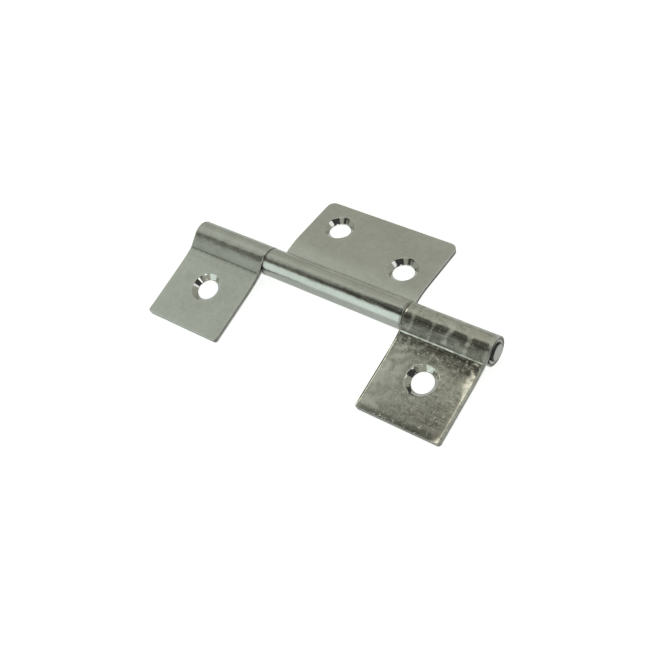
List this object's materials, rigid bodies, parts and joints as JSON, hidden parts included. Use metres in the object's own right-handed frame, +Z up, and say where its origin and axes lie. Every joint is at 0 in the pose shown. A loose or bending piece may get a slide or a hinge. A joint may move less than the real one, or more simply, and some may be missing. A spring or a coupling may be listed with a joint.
{
  "type": "t hinge",
  "caption": "Flat sheet-steel hinge with two narrow outer leaves on one side of the pin and a wide centre leaf on the other, drilled for countersunk screws.",
  "frame": {"origin": "on the surface that the hinge lies on, under the middle of the pin", "axes": "+X along the pin towards the right leaf, +Y towards the centre leaf, +Z up, the side that the screw heads are on"},
  "size_m": [0.0776, 0.0442, 0.0065],
  "materials": {
    "outer_plate": "bright zinc plate, rolled surface",
    "centre_plate": "bright zinc plate, drawn lines along the knuckle",
    "pin_steel": "plain sheared ends"
  },
  "bodies": {
    "centre": {"centre_leaf": "centre_plate", "hinge_pin": "pin_steel"},
    "left": {"left_leaf": "outer_plate"},
    "right": {"right_leaf": "outer_plate"}
  },
  "joints": [
    {"name": "left_leaf_swing", "type": "hinge", "parent": "centre", "child": "left", "pos_m": [-0.02835, 0, 0.00327], "axis": [-1, 0, 0], "range_deg": [-163, 196.8]},
    {"name": "right_leaf_swing", "type": "hinge", "parent": "centre", "child": "right", "pos_m": [0.02835, 0, 0.00327], "axis": [-1, 0, 0], "range_deg": [-163, 196.8]}
  ]
}
